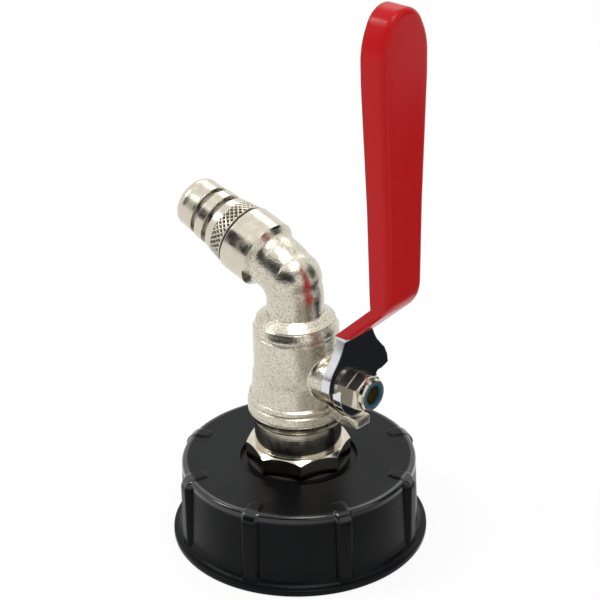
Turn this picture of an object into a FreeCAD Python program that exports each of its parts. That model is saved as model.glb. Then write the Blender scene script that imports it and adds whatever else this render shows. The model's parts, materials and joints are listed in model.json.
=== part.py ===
import FreeCAD, Part
import Sketcher
import math
import os
import re

# Tap adapter for a bulk liquid container: screw cap, ball valve with bent spout, hose nozzle.
# Millimetres, +Z up. The origin is the centre of the cap's mouth, on the ground plane. The valve's
# axis is Z, the stem lies along +X and the spout bends towards -X. The lever stands open, along +Z,
# and closes by a quarter turn about the stem to either side.

# Driving dimensions, one named cell each.
SIZES = {
    # screw cap
    "cap_height": 26.0,
    "cap_wall": 6.5,
    "cap_draft": 0.6,
    "flange_reach": 3.5,
    "flange_height": 2.2,
    "flange_root": 2.6,
    "cap_edge": 1.1,
    "tank_thread_radius": 30.0,
    "crown_thickness": 5.5,
    "recess_margin": 3.2,
    "recess_depth": 1.5,
    "rib_count": 8.0,
    "rib_turn": 18.9,
    "rib_width": 5.4,
    "rib_stand": 1.9,
    "rib_shoulder": 4.2,
    "rib_lap": 6.2,
    "rib_crown": 0.55,
    "rib_edge": 1.3,
    "rib_root": 2.6,
    # flat seals
    "seal_height": 3.0,
    "seal_width": 7.5,
    "seal_undercut": 0.6,
    "washer_overlap": 2.4,
    "gasket_height": 0.6,
    "gasket_setback": 0.35,
    # inlet connector
    "nipple_step": 0.3,
    "nipple_length": 7.5,
    "flow_radius": 6.5,
    "octagon_step": 1.5,
    "octagon_height": 6.5,
    "octagon_turn": 22.5,
    "octagon_bevel": 1.3,
    "neck_step": 1.5,
    "neck_height": 7.9,
    "spigot_step": 1.6,
    "spigot_length": 8.3,
    "thread_lead": 0.8,
    "thread_play": 0.05,
    # valve body
    "body_wall": 2.7,
    "foot_wall": 3.3,
    "rim_wall": 1.9,
    "body_bead": 0.4,
    "foot_rise": 2.9,
    "waist_rise": 8.3,
    "crown_drop": 6.4,
    "step_low": 0.4,
    "line_depth": 0.35,
    "body_roof": 8.4,
    "ball_play": 0.4,
    "seat_lip": 1.8826,
    "boss_wall": 1.4,
    "boss_blend": 1.5,
    "gland_thread": 1.8,
    "lug_half_width": 2.9,
    "lug_past": 1.8,
    "lug_drop": 12.4,
    "lug_depth": 3.5,
    # spout
    "spout_wall": 2.7,
    "spout_height": 11.5,
    "spout_throat": 1.3,
    "spout_rise": 17.5,
    "elbow_fullness": 1.2,
    "spout_bore": 6.0,
    "collar_wall": 2.0,
    "collar_setback": 4.07,
    "collar_length": 10.2,
    "collar_edge": 0.4,
    "socket_step": 2.0,
    "socket_depth": 7.0,
    # ball and seats
    "ball_radius": 10.0,
    "ball_slot_width": 4.1,
    "ball_slot_depth": 3.0,
    "seat_gap": 0.15,
    "seat_play": 0.04,
    "seat_bore_step": 0.3,
    # stem and its seals
    "stem_radius": 4.0,
    "stem_play": 0.04,
    "tang_thickness": 4.0,
    "tang_width": 7.6,
    "stem_collar_step": 1.4,
    "stem_collar_sink": 0.1,
    "stem_collar_height": 1.4,
    "thrust_washer": 0.7,
    "ring_groove_gap": 1.2,
    "ring_groove_width": 1.6,
    "ring_groove_depth": 1.4,
    "packing_gap": 0.9,
    "packing_height": 2.0,
    "packing_width": 1.7,
    "gland_step": 0.3,
    "gland_height": 2.2,
    "lever_gap": 0.4,
    "stem_flats": 5.4,
    "stud_radius": 3.0,
    "stud_sink": 0.6,
    # lever
    "plate": 3.0,
    "skin": 0.35,
    "hub_radius": 8.3,
    "ear_reach": 13.4,
    "ear_edge": 3.0,
    "ear_inner": 10.6,
    "neck_half_width": 6.0,
    "jog_start": 18.2,
    "jog_slope": 43.0,
    "grip_start": 19.4,
    "handle_offset": 17.8,
    "handle_depth_foot": 6.9,
    "handle_depth_top": 8.3,
    "handle_foot": 36.0,
    "handle_length": 86.1,
    "handle_half_foot": 7.6,
    "handle_half_middle": 8.1,
    "handle_half_top": 9.8,
    "channel_gap": 3.4,
    "grip_round": 14.7,
    "handle_web": 1.8,
    "handle_wall": 1.6,
    "bend_outer": 5.0,
    "grip_edge": 1.9,
    # lock nut
    "nut_width": 10.8,
    "nut_turn": 32.4,
    "nut_height": 4.0,
    "nut_collar_step": 0.3,
    "nut_collar_height": 1.8,
    "insert_width": 1.1,
    "insert_height": 1.5,
    # hose nozzle
    "nozzle_length": 22.6,
    "nozzle_setback": 0.4,
    "knurl_length": 4.8,
    "nozzle_taper": 1.3,
    "nozzle_band": 2.7,
    "nozzle_groove_depth": 1.1,
    "nozzle_rear_groove": 1.9,
    "nozzle_land": 3.4,
    "nozzle_land_radius": 8.7,
    "nozzle_front_groove": 1.8,
    "nozzle_tip_radius": 8.3,
    "nozzle_end_radius": 5.6,
    "nozzle_bore": 4.6,
}

# Sizes that follow from the driving dimensions, each an expression of them or of one another.
DERIVED = {
    "ball_bore": "ball_radius * 0.6",
    "seat_bore": "ball_bore + seat_bore_step",
    "cap_radius": "tank_thread_radius + cap_wall",
    "flange_radius": "cap_radius + flange_reach",
    "rib_radius": "cap_radius + rib_stand",
    "cavity_depth": "cap_height - crown_thickness",
    "cavity_radius": "ball_radius + ball_play",
    "spigot_radius": "cavity_radius + spigot_step",
    "neck_radius": "spigot_radius + neck_step",
    "nipple_radius": "neck_radius - nipple_step",
    "octagon_width": "2 * (neck_radius + octagon_step)",
    "recess_radius": "octagon_width / 2 + recess_margin",
    "neck_top": "cap_height + octagon_height + neck_height",
    "body_base": "neck_top + gasket_height",
    "spigot_top": "neck_top + spigot_length",
    "seat_drop": "sqrt((ball_radius + seat_play) ^ 2 - seat_bore ^ 2)",
    "stem_level": "spigot_top + seat_lip + seat_drop",
    "stem_rise": "stem_level - body_base",
    "seat_face": "stem_collar_radius + seat_gap",
    "cavity_top": "2 * stem_level - spigot_top",
    "body_length": "cavity_top + body_roof - body_base",
    "body_radius": "cavity_radius + body_wall",
    "body_wide": "spigot_radius + foot_wall",
    "body_rim": "spigot_radius + rim_wall",
    "spout_radius": "spout_bore + spout_wall",
    "spout_bend": "spout_radius + spout_throat",
    "bend_angle": "90 - spout_rise",
    "bend_tangent": "spout_bend * tan(bend_angle / 2)",
    "spout_corner": "body_base + body_length + spout_height",
    "spout_collar": "spout_radius + collar_wall",
    "collar_start": "bend_tangent + collar_setback",
    "collar_end": "collar_start + collar_length",
    "socket_radius": "spout_bore + socket_step",
    "nozzle_flange": "spout_collar - nozzle_setback",
    "stem_collar_radius": "stem_radius + stem_collar_step",
    "stem_collar_start": "ball_radius - stem_collar_sink",
    "stem_collar_end": "stem_collar_start + stem_collar_height",
    "ring_groove_start": "stem_collar_end + thrust_washer + ring_groove_gap",
    "packing_start": "ring_groove_start + ring_groove_width + packing_gap",
    "packing_radius": "stem_radius + packing_width",
    "boss_reach": "packing_start + packing_height + gland_thread",
    "boss_radius": "packing_radius + boss_wall",
    "gland_width": "2 * (packing_radius + gland_step)",
    "gland_top": "boss_reach + gland_height",
    "stem_shoulder": "gland_top + lever_gap",
    "hub_front": "stem_shoulder + plate",
    "lug_reach": "hub_front + lug_past",
    "handle_front": "hub_front + handle_offset",
    "handle_middle": "handle_foot + handle_length * 0.325",
    "handle_shoulder": "handle_foot + handle_length * 0.762",
    "handle_top": "handle_foot + handle_length",
    "nut_collar_radius": "nut_width / 2 - nut_collar_step",
    "nut_face": "hub_front + nut_height + nut_collar_height",
    "insert_radius": "stud_radius + insert_width",
    "stud_end": "nut_face - stud_sink",
}

doc = FreeCAD.newDocument("tap_adapter")

sheet = doc.addObject("Spreadsheet::Sheet", "Sizes")
for row, (name, value) in enumerate(SIZES.items(), start=1):
    sheet.set(f"A{row}", name)
    sheet.set(f"B{row}", str(value))
    sheet.setAlias(f"B{row}", name)
doc.recompute()


def cells(text):
    """The expression with each size's name turned into its cell, and each derived one written out."""
    def swap(match):
        name = match[0]
        if name in SIZES:
            return f"Sizes.{name}"
        return f"({cells(DERIVED[name])})" if name in DERIVED else name

    return re.sub(r"[a-z][a-z_]*", swap, text)


def value_of(text):
    """The present value of an expression, as a plain number."""
    result = sheet.evalExpression(cells(text))
    return float(getattr(result, "Value", result))


def new_body(label, height="0", axis="Z"):
    """A body whose own Z axis is the valve axis, the stem axis or the spout axis."""
    body = doc.addObject("PartDesign::Body", label)
    body.Label = label
    if axis == "stem":
        body.Placement.Rotation = FreeCAD.Rotation(FreeCAD.Vector(0, 1, 0), 90)
    if axis == "spout":
        body.Placement.Rotation = FreeCAD.Rotation(FreeCAD.Vector(0, -1, 0), 45)
        body.setExpression("Placement.Rotation.Angle", cells("bend_angle * 1 deg"))
    body.setExpression("Placement.Base.z", cells(height))
    return body


def new_sketch(body, name, plane="XZ_Plane", offset=None):
    """A sketch on one of the body's own origin planes, moved along its normal by an offset."""
    sketch = body.newObject("Sketcher::SketchObject", name)
    origin = [item for item in body.Origin.OriginFeatures if item.Role == plane][0]
    sketch.AttachmentSupport = [(origin, "")]
    sketch.MapMode = "FlatFace"
    if offset:
        sketch.setExpression("AttachmentOffset.Base.z", cells(offset))
    return sketch


def pin(sketch, shape, corner, point):
    """Ties a corner of a sketch shape to a point given by two expressions."""
    for kind, text in zip(("DistanceX", "DistanceY"), point):
        number = value_of(text)
        index = sketch.addConstraint(Sketcher.Constraint(kind, -1, 1, shape, corner, number))
        sketch.setExpression(f"Constraints[{index}]", cells(text))


def vector(point):
    return FreeCAD.Vector(value_of(point[0]), value_of(point[1]), 0)


def draw(sketch, path, closed=True):
    """Lines through the path's points, with an arc through each point marked "via"."""
    steps = list(path) + ([path[0]] if closed else [])
    first = None
    previous = None
    start = steps[0]
    via = None
    for point in steps[1:]:
        if point[0] == "via":
            via = point[1:]
            continue
        if via:
            arc = Part.Arc(vector(start), vector(via), vector(point))
            shape = sketch.addGeometry(arc, False)
            turn = (vector(via) - vector(start)).cross(vector(point) - vector(via)).z
            head, tail = (1, 2) if turn > 0 else (2, 1)
            mark = sketch.addGeometry(Part.Point(vector(via)), True)
            pin(sketch, mark, 1, via)
            sketch.addConstraint(Sketcher.Constraint("PointOnObject", mark, 1, shape))
        else:
            shape = sketch.addGeometry(Part.LineSegment(vector(start), vector(point)), False)
            head, tail = 1, 2
        if previous:
            sketch.addConstraint(Sketcher.Constraint("Coincident", *previous, shape, head))
        else:
            first = (shape, head)
        if closed and point is steps[-1]:
            sketch.addConstraint(Sketcher.Constraint("Coincident", *first, shape, tail))
        else:
            pin(sketch, shape, tail, point)
        if first == (shape, head):
            pin(sketch, shape, head, start)
        previous = (shape, tail)
        start = point
        via = None


def circle(sketch, radius, centre=("0", "0")):
    """A circle about a point given by two expressions."""
    shape = sketch.addGeometry(Part.Circle(vector(centre), FreeCAD.Vector(0, 0, 1), value_of(radius)))
    pin(sketch, shape, 3, centre)
    index = sketch.addConstraint(Sketcher.Constraint("Radius", shape, value_of(radius)))
    sketch.setExpression(f"Constraints[{index}]", cells(radius))


def axis_line(sketch, start, end):
    """A construction line that a profile turns about."""
    line = sketch.addGeometry(Part.LineSegment(vector(start), vector(end)), True)
    pin(sketch, line, 1, start)
    pin(sketch, line, 2, end)


def turn(body, name, path, cut=False, axis=None):
    """A profile revolved about the body's Z axis, or about a construction line; cut takes it away."""
    sketch = new_sketch(body, f"{name}_profile")
    draw(sketch, path)
    if axis:
        axis_line(sketch, *axis)
    feature = body.newObject("PartDesign::Groove" if cut else "PartDesign::Revolution", name)
    feature.Profile = sketch
    feature.ReferenceAxis = (sketch, ["Axis0" if axis else "V_Axis"])
    feature.Angle = 360.0
    return feature


def pad(body, name, plane, path, length, offset=None, midplane=False, radius=None, centre=("0", "0")):
    """A closed outline, or a circle, given a thickness along its plane's normal."""
    sketch = new_sketch(body, f"{name}_outline", plane, offset)
    if radius:
        circle(sketch, radius, centre)
    else:
        draw(sketch, path)
    feature = body.newObject("PartDesign::Pad", name)
    feature.Profile = sketch
    feature.setExpression("Length", cells(length))
    if midplane:
        feature.SideType = "Symmetric"
    return feature


def pocket(body, name, plane, path, length, offset=None, radius=None, centre=("0", "0"), forward=True):
    """A closed outline, or a circle, cut out along its plane's normal, forward or backward."""
    sketch = new_sketch(body, f"{name}_outline", plane, offset)
    if radius:
        circle(sketch, radius, centre)
    else:
        draw(sketch, path)
    feature = body.newObject("PartDesign::Pocket", name)
    feature.Profile = sketch
    feature.setExpression("Length", cells(length))
    feature.Reversed = forward
    return feature


def round_edges(body, name, radius, chosen):
    """A fillet on the edges of the body's last feature that the test picks."""
    doc.recompute()
    base = body.Tip
    names = [f"Edge{i}" for i, edge in enumerate(base.Shape.Edges, start=1) if chosen(edge)]
    feature = body.newObject("PartDesign::Fillet", name)
    feature.Base = (base, names)
    feature.setExpression("Radius", cells(radius))
    return feature


def ring(label, inner, outer, base, height, origin="0", axis="Z"):
    """A flat ring of rectangular section."""
    body = new_body(label, origin, axis)
    top = f"({base} + {height})"
    turn(body, f"{label}_ring", [(inner, base), (outer, base), (outer, top), (inner, top)])
    return body


def regular(count, width, turned="0"):
    """Corners of a regular polygon with this width across its flats, turned by an angle."""
    half = 180.0 / count
    size = f"{width} / 2 / cos({half})"
    angles = [f"{turned} + {(2 * i + 1) * half}" for i in range(count)]
    return [(f"{size} * cos({a})", f"{size} * sin({a})") for a in angles]


def bevel(body, name, width, corners, level, depth, side):
    """Takes the corners of a hexagon or octagon down with a cone, at its top (1) or bottom (-1)."""
    reach = f"({width} / 2 / cos({180.0 / corners}))"
    inner = f"({width} / 2 - 0.2)"
    low = f"({level} - {side} * {depth})"
    path = [(inner, level), (f"{reach} + 1", level), (f"{reach} + 1", low), (reach, low)]
    return turn(body, name, path, cut=True)


def along(distance, radius, corner):
    """A point in the XZ plane at a distance from the spout's corner and a height above its axis."""
    across = f"(0 - ({distance}) * cos(spout_rise) + ({radius}) * sin(spout_rise))"
    up = f"({corner} + ({distance}) * sin(spout_rise) + ({radius}) * cos(spout_rise))"
    return across, up


# Screw cap: one moulding, with a flange, eight grip ribs and a recess round the connector.
def make_cap():
    body = new_body("threaded_cap")
    body.AllowCompound = True
    body.setExpression("Placement.Rotation.Angle", cells("rib_turn * 1 deg"))
    crown = "(cap_height + rib_crown)"
    bent = f"rib_shoulder * {1 - math.sqrt(0.5):.4f}"
    rib = pad(body, "rib", "XZ_Plane", [
        ("cap_radius - rib_shoulder", "flange_height / 2"),
        ("rib_radius", "flange_height / 2"),
        ("rib_radius", f"{crown} - rib_shoulder"),
        ("via", f"rib_radius - {bent}", f"{crown} - {bent}"),
        ("rib_radius - rib_shoulder", crown),
        ("cap_radius - rib_lap", crown),
        ("cap_radius - rib_lap", "cap_height - rib_root"),
        ("cap_radius - rib_shoulder", "cap_height - rib_root"),
    ], "rib_width", midplane=True)
    rounding = round_edges(body, "rib_rounding", "rib_edge", is_rib_side)
    ribs = body.newObject("PartDesign::PolarPattern", "ribs")
    ribs.Originals = [rib, rounding]
    ribs.Axis = ([item for item in body.Origin.OriginFeatures if item.Role == "Z_Axis"][0], [""])
    ribs.Angle = 360.0
    ribs.setExpression("Occurrences", cells("rib_count"))
    body.Tip = ribs
    hole = "(nipple_radius + thread_play)"
    undercut = "(tank_thread_radius + seal_undercut)"
    seat = "(cap_height - recess_depth)"
    ceiling_seal = "(cavity_depth - seal_height)"
    root = "(cap_radius + cap_draft)"
    shell = turn(body, "shell", [
        ("tank_thread_radius", "0"),
        ("flange_radius", "0"),
        ("flange_radius", "flange_height"),
        (f"{root} + flange_root", "flange_height"),
        ("via", f"{root} + flange_root * 0.2929", "flange_height + flange_root * 0.2929"),
        (root, "flange_height + flange_root"),
        ("cap_radius", "cap_height - cap_edge"),
        ("via", "cap_radius - cap_edge * 0.2929", "cap_height - cap_edge * 0.2929"),
        ("cap_radius - cap_edge", "cap_height"),
        ("recess_radius", "cap_height"),
        ("recess_radius", seat),
        (hole, seat),
        (hole, "cavity_depth"),
        (undercut, "cavity_depth"),
        (undercut, ceiling_seal),
        ("tank_thread_radius", ceiling_seal),
    ])
    body.Tip = shell
    return body


def is_rib_side(edge):
    """True for the long edges that run up a rib's outer face and in over its crown."""
    box = edge.BoundBox
    if box.YLength > 0.01 or abs(abs(box.Center.y) - value_of("rib_width") / 2) > 0.01:
        return False
    outside = box.XMax > value_of("rib_radius") - 0.1 or box.ZMax > value_of("cap_height") + 0.3
    high = box.ZMax > value_of("cap_height") / 2
    return outside and high and box.XMax > value_of("cap_radius - rib_lap") + 1


# Flat rubber ring in the cap's ceiling that seals on the container's outlet.
def make_cap_seal():
    outer = "(tank_thread_radius + seal_undercut - 0.1)"
    return ring("cap_seal", "(tank_thread_radius - seal_width)", outer,
                "(cavity_depth - seal_height)", "seal_height")


# Rubber washer in the cap's recess, pressed by the octagonal collar.
def make_collar_washer():
    inner = "(nipple_radius + 0.1)"
    return ring("collar_washer", inner, f"({inner} + washer_overlap)",
                "(cap_height - recess_depth)", "recess_depth")


# Inlet connector: one turning with a male tail, an octagonal collar, a plain neck and a spigot.
def make_inlet_connector():
    body = new_body("inlet_connector", "cap_height")
    top = "(neck_top - cap_height)"
    tip = f"({top} + spigot_length)"
    turn(body, "stem_of_connector", [
        ("0", "0 - nipple_length"),
        ("nipple_radius - thread_lead", "0 - nipple_length"),
        ("nipple_radius", "thread_lead - nipple_length"),
        ("nipple_radius", "octagon_height / 2"),
        ("neck_radius", "octagon_height / 2"),
        ("neck_radius", top),
        ("spigot_radius", top),
        ("spigot_radius", f"{tip} - thread_lead"),
        ("spigot_radius - thread_lead", tip),
        ("0", tip),
    ])
    pad(body, "octagon", "XY_Plane", regular(8, "octagon_width", "octagon_turn"), "octagon_height")
    bevel(body, "octagon_top", "octagon_width", 8, "octagon_height", "octagon_bevel", 1)
    bore = pocket(body, "bore", "XY_Plane", None, f"({tip} + nipple_length + 2)",
                  offset="0 - nipple_length - 1", radius="flow_radius")
    body.Tip = bore
    return body


# Black ring squeezed between the connector's neck and the valve body.
def make_connector_gasket():
    return ring("connector_gasket", "(spigot_radius + thread_play)", "(neck_radius - gasket_setback)",
                "0", "gasket_height", "neck_top")


# Valve body: one casting with the ball's cavity, stem boss, stop lug, bent spout and turned collar.
def make_valve_body():
    body = new_body("valve_body", "body_base")
    wide = "body_wide"
    main = "body_radius"
    step = "body_bead"
    top = "body_length"
    turn(body, "barrel", [
        ("0", "0"),
        ("body_rim", "0"),
        ("body_rim + step_low", "0.6"),
        (wide, "foot_rise"),
        (wide, "foot_rise + 0.2"),
        (f"{wide} - line_depth", "foot_rise + 0.35"),
        (wide, "foot_rise + 0.5"),
        (wide, "waist_rise - 2.5"),
        (f"{wide} - line_depth * 2", "waist_rise - 2.1"),
        (f"{wide} - line_depth", "waist_rise - 1.6"),
        (f"{wide} - line_depth", "waist_rise - 0.5"),
        (f"{wide} - {step} * 3", "waist_rise"),
        (f"{main} + {step}", "waist_rise + 7"),
        (main, "waist_rise + 7.8"),
        (main, f"{top} - crown_drop"),
        (f"{main} - {step}", f"{top} - crown_drop + 0.5"),
        (main, f"{top} - crown_drop + 1"),
        (main, f"{top} - crown_drop + 1.6"),
        (f"{main} - {step}", f"{top} - crown_drop + 2.1"),
        (f"{main} - {step} * 2.5", f"{top} - crown_drop + 3.7"),
        (f"{main} - {step} * 3.5", f"{top} - crown_drop + 4"),
        (f"{main} - {step} * 2.6", f"{top} - crown_drop + 4.3"),
        ("spout_radius + 0.2", top),
        ("0", top),
    ])
    boss = pad(body, "stem_boss", "YZ_Plane", None, "boss_reach", radius="boss_radius",
               centre=("0", "stem_rise"))
    boss.Refine = True
    round_edges(body, "boss_blend", "boss_blend", is_boss_root)
    low = "(stem_rise - lug_drop)"
    pad(body, "stop_lug", "XZ_Plane", [
        ("body_radius - 1.5", f"{low} + lug_depth + 1.6"),
        ("body_radius + 2", f"{low} + lug_depth + 1.2"),
        ("lug_reach - 5.5", f"{low} + lug_depth - 0.4"),
        ("lug_reach - 3.6", f"{low} + lug_depth"),
        ("lug_reach - 0.5", f"{low} + lug_depth"),
        ("lug_reach", f"{low} + lug_depth - 0.5"),
        ("lug_reach", f"{low} + 0.5"),
        ("lug_reach - 0.5", low),
        ("lug_reach - 3.5", low),
        ("body_radius", f"{low} + 0.8"),
        ("body_radius - 1.5", f"{low} + 0.8"),
    ], "2 * lug_half_width", midplane=True)
    corner = "(body_length + spout_height)"
    tangent = "bend_tangent"
    half = "(bend_angle / 2)"
    line = new_sketch(body, "spout_line")
    draw(line, [
        ("0", f"{top} - 1"),
        ("0", f"{corner} - {tangent}"),
        ("via", f"spout_bend * (cos({half}) - 1)", f"{corner} - {tangent} + spout_bend * sin({half})"),
        along(tangent, "0", corner),
        along("collar_start + 1", "0", corner),
    ], closed=False)
    foot = new_sketch(body, "spout_foot", "XY_Plane", f"{top} - 1")
    circle(foot, "spout_radius")
    spout = body.newObject("PartDesign::AdditivePipe", "spout")
    spout.Profile = foot
    spout.Spine = line
    hub = (f"0 - elbow_fullness * sin({half})", f"{corner} - elbow_fullness * cos({half})")
    turn(body, "elbow_back", [
        (hub[0], f"{hub[1]} - spout_radius"),
        ("via", f"{hub[0]} + spout_radius", hub[1]),
        (hub[0], f"{hub[1]} + spout_radius"),
    ], axis=((hub[0], f"{hub[1]} - spout_radius"), (hub[0], f"{hub[1]} + spout_radius")))
    axis = (along("0", "0", corner), along("collar_end", "0", corner))
    turn(body, "spout_collar", [
        along("collar_start - 3", "0", corner),
        along("collar_start - 3", "spout_radius - 0.6", corner),
        along("collar_start - 1.2", "spout_radius + 0.5", corner),
        along("collar_start", "spout_collar - collar_edge", corner),
        along("collar_start + collar_edge", "spout_collar", corner),
        along("collar_end - collar_edge", "spout_collar", corner),
        along("collar_end", "spout_collar - collar_edge", corner),
        along("collar_end", "0", corner),
    ], axis=axis)
    core = new_sketch(body, "outlet_foot", "XY_Plane", f"{top} - 1")
    circle(core, "spout_bore")
    outlet = body.newObject("PartDesign::SubtractivePipe", "outlet")
    outlet.Profile = core
    outlet.Spine = line
    turn(body, "nozzle_socket", [
        along("collar_start", "0", corner),
        along("collar_start", "spout_bore", corner),
        along("collar_end - socket_depth", "spout_bore", corner),
        along("collar_end - socket_depth", "socket_radius", corner),
        along("collar_end + 1", "socket_radius", corner),
        along("collar_end + 1", "0", corner),
    ], cut=True, axis=axis)
    spigot = "(spigot_top - body_base)"
    ceiling = "(cavity_top - body_base)"
    turn(body, "ball_chamber", [
        ("0", "0 - 1"),
        ("spigot_radius + thread_play", "0 - 1"),
        ("spigot_radius + thread_play", f"{spigot} + 0.3"),
        ("cavity_radius", f"{spigot} + 0.3"),
        ("cavity_radius", ceiling),
        ("spout_bore", ceiling),
        ("spout_bore", f"{top}"),
        ("0", f"{top}"),
    ], cut=True)
    pocket(body, "stem_recess", "YZ_Plane", None, "(stem_collar_start + stem_collar_height + thrust_washer)",
           radius="stem_collar_radius + 0.1", centre=("0", "stem_rise"))
    pocket(body, "stem_bore", "YZ_Plane", None, "boss_reach + 1", radius="stem_radius + stem_play",
           centre=("0", "stem_rise"))
    packing = pocket(body, "packing_bore", "YZ_Plane", None, "boss_reach", offset="packing_start",
                     radius="packing_radius + thread_play", centre=("0", "stem_rise"))
    body.Tip = packing
    return body


def is_boss_root(edge):
    """True for the edges where the stem boss runs into the barrel."""
    middle = edge.valueAt((edge.FirstParameter + edge.LastParameter) / 2)
    radius = math.hypot(middle.y, middle.z - value_of("stem_rise"))
    box = edge.BoundBox
    inside = box.XMax < value_of("boss_reach") - 1 and box.XLength > 0.01
    return inside and abs(radius - value_of("boss_radius")) < 0.02


# PTFE seat: a ring with a spherical face for the ball, the same part under and over it.
def make_seat(label, height):
    body = new_body(label, height)
    rise = "(stem_level - spigot_top)"
    sphere = "(ball_radius + seat_play)"
    outside = "(cavity_radius - 0.05)"
    bore_drop = f"sqrt({sphere} ^ 2 - seat_bore ^ 2)"
    mid = f"((seat_face + {bore_drop}) / 2)"
    turn(body, f"{label}_ring", [
        ("seat_bore", "0"),
        (outside, "0"),
        (outside, f"{rise} - seat_face"),
        (f"sqrt({sphere} ^ 2 - seat_face ^ 2)", f"{rise} - seat_face"),
        ("via", f"sqrt({sphere} ^ 2 - {mid} ^ 2)", f"{rise} - {mid}"),
        ("seat_bore", f"{rise} - {bore_drop}"),
    ])
    return body


# Chrome-plated ball with its bore along Z when open and a slot across it for the stem's tang.
def make_ball():
    sphere = doc.addObject("Part::Sphere", "ball_blank")
    sphere.setExpression("Radius", cells("ball_radius"))
    bore = doc.addObject("Part::Cylinder", "ball_through")
    bore.setExpression("Radius", cells("ball_bore"))
    bore.setExpression("Height", cells("2 * ball_radius"))
    bore.setExpression("Placement.Base.z", cells("0 - ball_radius"))
    slot = doc.addObject("Part::Box", "ball_slot")
    slot.setExpression("Length", cells("ball_slot_depth"))
    slot.setExpression("Width", cells("2 * ball_radius"))
    slot.setExpression("Height", cells("ball_slot_width"))
    slot.setExpression("Placement.Base.x", cells("ball_radius - ball_slot_depth"))
    slot.setExpression("Placement.Base.y", cells("0 - ball_radius"))
    slot.setExpression("Placement.Base.z", cells("0 - ball_slot_width / 2"))
    voids = doc.addObject("Part::MultiFuse", "ball_voids")
    voids.Shapes = [bore, slot]
    ball = doc.addObject("Part::Cut", "ball")
    ball.Base = sphere
    ball.Tool = voids
    ball.setExpression("Placement.Base.z", cells("stem_level"))
    return ball


# Brass stem: tang, collar, O-ring groove, two flats for the lever and a threaded end.
def make_stem():
    body = new_body("stem", "stem_level", "stem")
    collar = "stem_collar_start"
    shoulder = f"({collar} + stem_collar_height)"
    groove = "stem_radius - ring_groove_depth"
    turn(body, "shaft", [
        ("0", collar),
        ("stem_collar_radius", collar),
        ("stem_collar_radius", shoulder),
        ("stem_radius", shoulder),
        ("stem_radius", "ring_groove_start"),
        (groove, "ring_groove_start"),
        (groove, "ring_groove_start + ring_groove_width"),
        ("stem_radius", "ring_groove_start + ring_groove_width"),
        ("stem_radius", "hub_front"),
        ("stud_radius", "hub_front"),
        ("stud_radius", "stud_end - thread_lead / 2"),
        ("stud_radius - thread_lead / 2", "stud_end"),
        ("0", "stud_end"),
    ])
    wide = "tang_width / 2"
    thick = "tang_thickness / 2"
    pad(body, "tang", "XY_Plane", [
        (f"0 - {thick}", f"0 - {wide}"),
        (thick, f"0 - {wide}"),
        (thick, wide),
        (f"0 - {thick}", wide),
    ], "ball_slot_depth", offset=f"{collar} - ball_slot_depth + 0.1")
    reach = "(stem_radius + 1)"
    flats = None
    for name, side in (("flat_left", 1), ("flat_right", -1)):
        flats = pocket(body, name, "XY_Plane", [
            (f"0 - {reach}", f"{side} * stem_flats / 2"),
            (reach, f"{side} * stem_flats / 2"),
            (reach, f"{side} * {reach}"),
            (f"0 - {reach}", f"{side} * {reach}"),
        ], "plate + 1", offset="stem_shoulder")
    body.Tip = flats
    return body


# Low-friction washer between the stem's collar and the body.
def make_thrust_washer():
    return ring("stem_thrust_washer", "(stem_radius + 0.03)", "(stem_collar_radius + 0.05)",
                "(stem_collar_start + stem_collar_height)", "thrust_washer", "stem_level", "stem")


# Rubber ring in the stem's groove, which seals the bore.
def make_stem_o_ring():
    torus = doc.addObject("Part::Torus", "stem_o_ring")
    torus.setExpression("Radius1", cells("stem_radius - ring_groove_depth / 2 + 0.01"))
    torus.setExpression("Radius2", cells("ring_groove_depth / 2 - 0.01"))
    torus.Placement.Rotation = FreeCAD.Rotation(FreeCAD.Vector(0, 1, 0), 90)
    torus.setExpression("Placement.Base.x", cells("ring_groove_start + ring_groove_width / 2"))
    torus.setExpression("Placement.Base.z", cells("stem_level"))
    return torus


# PTFE ring at the bottom of the packing bore.
def make_packing():
    return ring("stem_packing", "(stem_radius + 0.03)", "packing_radius",
                "packing_start", "packing_height", "stem_level", "stem")


# Brass gland nut that screws into the boss and presses the packing ring.
def make_packing_nut():
    body = new_body("packing_nut", "stem_level", "stem")
    turn(body, "gland", [
        ("0", "packing_start + packing_height"),
        ("packing_radius - 0.3", "packing_start + packing_height"),
        ("packing_radius", "packing_start + packing_height + 0.3"),
        ("packing_radius", "boss_reach"),
        ("0", "boss_reach"),
    ])
    pad(body, "gland_hexagon", "XY_Plane", regular(6, "gland_width"), "gland_height", offset="boss_reach")
    bevel(body, "gland_corners", "gland_width", 6, "gland_top", "0.7", 1)
    bore = pocket(body, "gland_bore", "XY_Plane", None, "boss_reach", offset="packing_start",
                  radius="stem_radius + stem_play")
    body.Tip = bore
    return body


# Outline of the lever seen along the stem, drawn in by an inset all round.
def lever_outline(inset, foot):
    top = f"(handle_top - {inset})"
    wide = f"(handle_half_top - {inset})"
    middle = f"(handle_half_middle - {inset})"
    low = f"(handle_half_foot - {inset})"
    neck = f"(neck_half_width - {inset})"
    shoulder = f"({top} - grip_round + {inset})"
    crown = f"(grip_round - {inset})"
    right = [
        (low, "handle_foot"),
        (middle, "handle_middle"),
        (wide, "handle_shoulder"),
        (wide, shoulder),
        ("via", f"{wide} * cos(20)", f"{shoulder} + {crown} * sin(20)"),
        (f"{wide} * cos(42)", f"{shoulder} + {crown} * sin(42)"),
    ]
    left = [(f"0 - {x}", y) for x, y in [right[i] for i in (5, 3, 2, 1, 0)]]
    via = ("via", f"0 - {right[4][1]}", right[4][2])
    tip = ("via", "0", top)
    path = [(neck, foot)] + right + [tip, left[0], via] + left[1:] + [(f"0 - {neck}", foot)]
    return path, neck


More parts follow.
